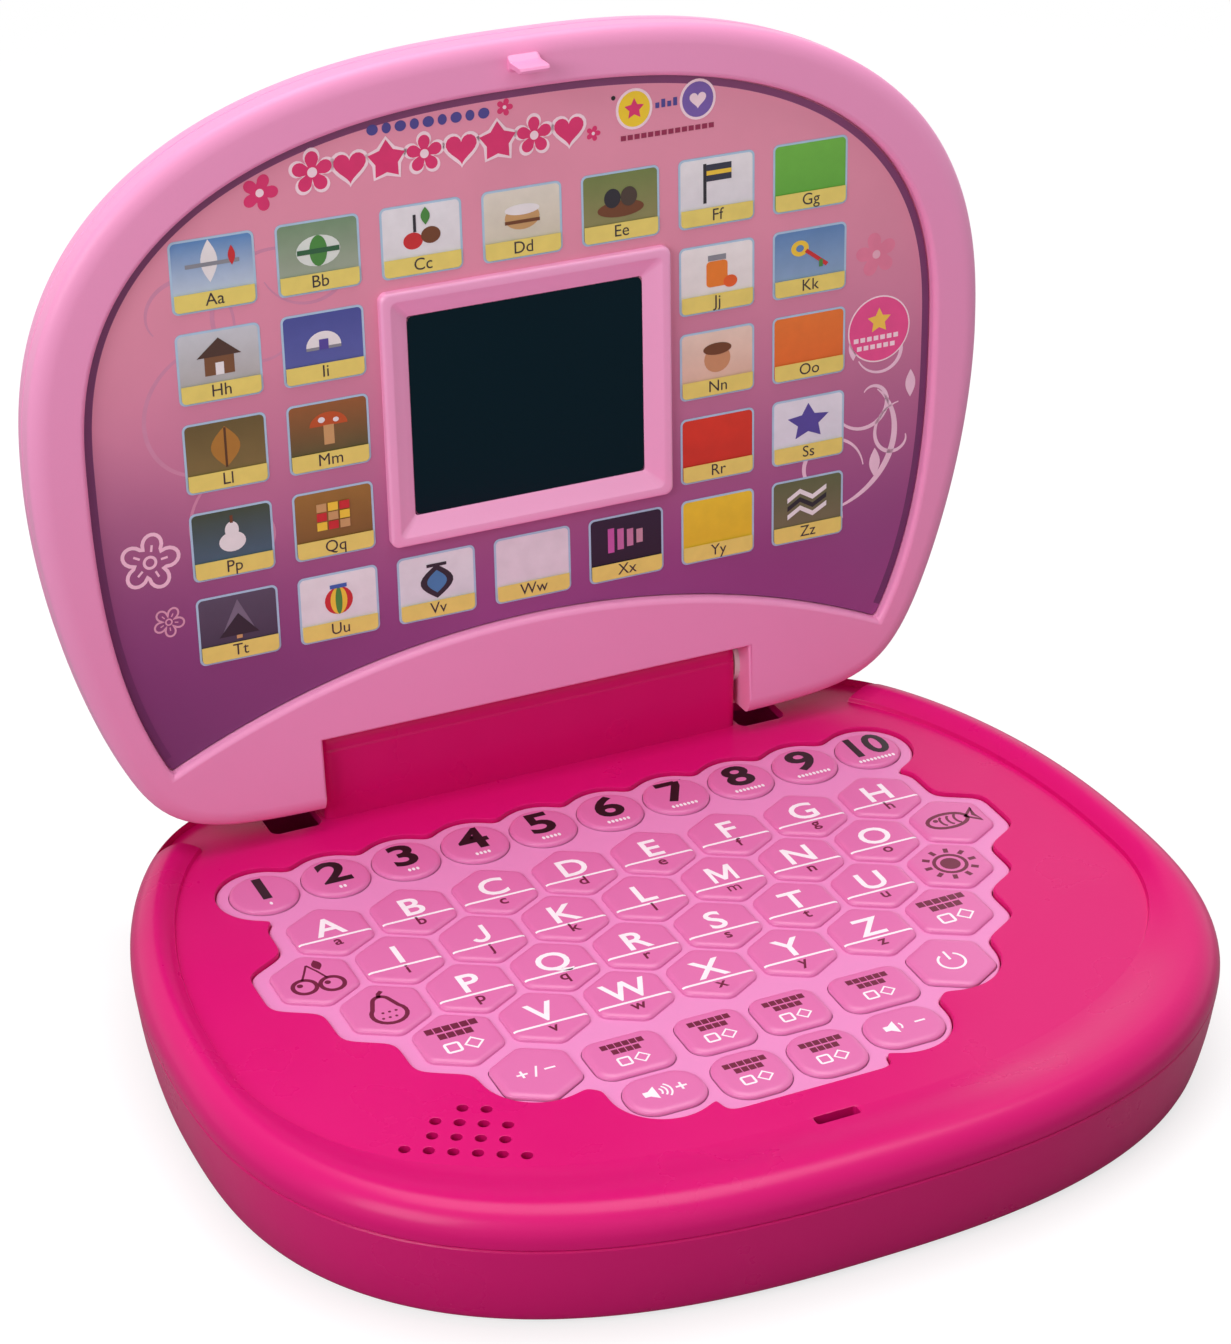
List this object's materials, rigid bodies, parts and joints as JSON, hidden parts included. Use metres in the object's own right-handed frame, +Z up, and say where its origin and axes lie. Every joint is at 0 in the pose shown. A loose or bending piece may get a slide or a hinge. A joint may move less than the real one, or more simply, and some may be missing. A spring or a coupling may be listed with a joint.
{
  "type": "toy laptop computer",
  "caption": "Clamshell learning toy with a honeycomb keypad, a printed picture panel round a small display and a lid held by friction hinges.",
  "frame": {"origin": "under the middle of the toy's bounding box, on the table", "axes": "+X to the user's right, +Y from the user towards the hinge, +Z up"},
  "size_m": [0.226, 0.1868, 0.1975],
  "materials": {
    "base_shell": "glossy magenta-pink moulded ABS",
    "lid_shell": "satin light pink moulded ABS",
    "film_pink": "soft glossy light pink film",
    "key_pink": "soft glossy light pink",
    "door_plastic": "matt magenta-pink",
    "black_rubber": "black rubber",
    "film_clear": "carbon-printed polyester",
    "circuit_board": "green solder mask",
    "zinc_steel": "zinc-plated steel",
    "speaker_black": "black paper cone and steel frame",
    "cell_wrap": "plain printed cell sleeve",
    "print_film": "gradient mauve-pink printed sheet",
    "bezel_pink": "glossy light pink",
    "lcd_glass": "dark tinted window",
    "lcd_grey": "LCD glass and frame",
    "nylon": "natural nylon",
    "cable_grey": "grey cable sheath"
  },
  "bodies": {
    "base": {"base_upper_shell": "base_shell", "base_lower_shell": "base_shell", "rubber_feet": "black_rubber", "keypad_overlay": "film_pink", "contact_film": "film_clear", "main_board": "circuit_board", "board_screws": "zinc_steel", "speaker": "speaker_black", "battery_1": "cell_wrap", "battery_2": "cell_wrap", "battery_3": "cell_wrap", "battery_springs": "zinc_steel", "battery_plates": "zinc_steel", "case_screws": "zinc_steel"},
    "lid": {"lid_front_shell": "lid_shell", "lid_back_shell": "lid_shell", "display_panel": "print_film", "lcd_bezel": "bezel_pink", "lcd_window": "lcd_glass", "lcd_module": "lcd_grey", "lcd_board": "circuit_board", "lcd_screws": "zinc_steel", "lid_screws": "zinc_steel", "hinge_pin_left": "zinc_steel", "hinge_pin_right": "zinc_steel", "friction_rings": "nylon", "display_cable": "cable_grey"},
    "battery_door": {"battery_door": "door_plastic"},
    "digit_key_1": {"digit_key_1": "key_pink"},
    "digit_key_2": {"digit_key_2": "key_pink"},
    "digit_key_3": {"digit_key_3": "key_pink"},
    "digit_key_4": {"digit_key_4": "key_pink"},
    "digit_key_5": {"digit_key_5": "key_pink"},
    "digit_key_6": {"digit_key_6": "key_pink"},
    "digit_key_7": {"digit_key_7": "key_pink"},
    "digit_key_8": {"digit_key_8": "key_pink"},
    "digit_key_9": {"digit_key_9": "key_pink"},
    "digit_key_10": {"digit_key_10": "key_pink"},
    "plus_minus_key": {"plus_minus_key": "key_pink"},
    "music_key": {"music_key": "key_pink"},
    "letter_key": {"letter_key": "key_pink"},
    "word_key": {"word_key": "key_pink"},
    "singing_key": {"singing_key": "key_pink"},
    "power_key": {"power_key": "key_pink"},
    "volume_up_key": {"volume_up_key": "key_pink"},
    "spelling_key": {"spelling_key": "key_pink"},
    "question_key": {"question_key": "key_pink"},
    "volume_down_key": {"volume_down_key": "key_pink"}
  },
  "joints": [
    {"name": "lid_hinge", "type": "hinge", "parent": "base", "child": "lid", "pos_m": [0, 0.0808, 0.0393], "axis": [1, 0, 0], "range_deg": [-12, 92.3]},
    {"name": "battery_door_lift", "type": "slide", "parent": "base", "child": "battery_door", "axis": [0, 0, -1], "range_m": [0, 0.012]},
    {"name": "digit_1_press", "type": "slide", "parent": "base", "child": "digit_key_1", "axis": [0, 0, -1], "range_m": [0, 0.0007], "stiffness_N_per_m": 900},
    {"name": "digit_2_press", "type": "slide", "parent": "base", "child": "digit_key_2", "axis": [0, 0, -1], "range_m": [0, 0.0007], "stiffness_N_per_m": 900},
    {"name": "digit_3_press", "type": "slide", "parent": "base", "child": "digit_key_3", "axis": [0, 0, -1], "range_m": [0, 0.0007], "stiffness_N_per_m": 900},
    {"name": "digit_4_press", "type": "slide", "parent": "base", "child": "digit_key_4", "axis": [0, 0, -1], "range_m": [0, 0.0007], "stiffness_N_per_m": 900},
    {"name": "digit_5_press", "type": "slide", "parent": "base", "child": "digit_key_5", "axis": [0, 0, -1], "range_m": [0, 0.0007], "stiffness_N_per_m": 900},
    {"name": "digit_6_press", "type": "slide", "parent": "base", "child": "digit_key_6", "axis": [0, 0, -1], "range_m": [0, 0.0007], "stiffness_N_per_m": 900},
    {"name": "digit_7_press", "type": "slide", "parent": "base", "child": "digit_key_7", "axis": [0, 0, -1], "range_m": [0, 0.0007], "stiffness_N_per_m": 900},
    {"name": "digit_8_press", "type": "slide", "parent": "base", "child": "digit_key_8", "axis": [0, 0, -1], "range_m": [0, 0.0007], "stiffness_N_per_m": 900},
    {"name": "digit_9_press", "type": "slide", "parent": "base", "child": "digit_key_9", "axis": [0, 0, -1], "range_m": [0, 0.0007], "stiffness_N_per_m": 900},
    {"name": "digit_10_press", "type": "slide", "parent": "base", "child": "digit_key_10", "axis": [0, 0, -1], "range_m": [0, 0.0007], "stiffness_N_per_m": 900},
    {"name": "plus_minus_press", "type": "slide", "parent": "base", "child": "plus_minus_key", "axis": [0, 0, -1], "range_m": [0, 0.0007], "stiffness_N_per_m": 900},
    {"name": "music_press", "type": "slide", "parent": "base", "child": "music_key", "axis": [0, 0, -1], "range_m": [0, 0.0007], "stiffness_N_per_m": 900},
    {"name": "letter_press", "type": "slide", "parent": "base", "child": "letter_key", "axis": [0, 0, -1], "range_m": [0, 0.0007], "stiffness_N_per_m": 900},
    {"name": "word_press", "type": "slide", "parent": "base", "child": "word_key", "axis": [0, 0, -1], "range_m": [0, 0.0007], "stiffness_N_per_m": 900},
    {"name": "singing_press", "type": "slide", "parent": "base", "child": "singing_key", "axis": [0, 0, -1], "range_m": [0, 0.0007], "stiffness_N_per_m": 900},
    {"name": "power_press", "type": "slide", "parent": "base", "child": "power_key", "axis": [0, 0, -1], "range_m": [0, 0.0007], "stiffness_N_per_m": 900},
    {"name": "volume_up_press", "type": "slide", "parent": "base", "child": "volume_up_key", "axis": [0, 0, -1], "range_m": [0, 0.0007], "stiffness_N_per_m": 900},
    {"name": "spelling_press", "type": "slide", "parent": "base", "child": "spelling_key", "axis": [0, 0, -1], "range_m": [0, 0.0007], "stiffness_N_per_m": 900},
    {"name": "question_press", "type": "slide", "parent": "base", "child": "question_key", "axis": [0, 0, -1], "range_m": [0, 0.0007], "stiffness_N_per_m": 900},
    {"name": "volume_down_press", "type": "slide", "parent": "base", "child": "volume_down_key", "axis": [0, 0, -1], "range_m": [0, 0.0007], "stiffness_N_per_m": 900}
  ]
}
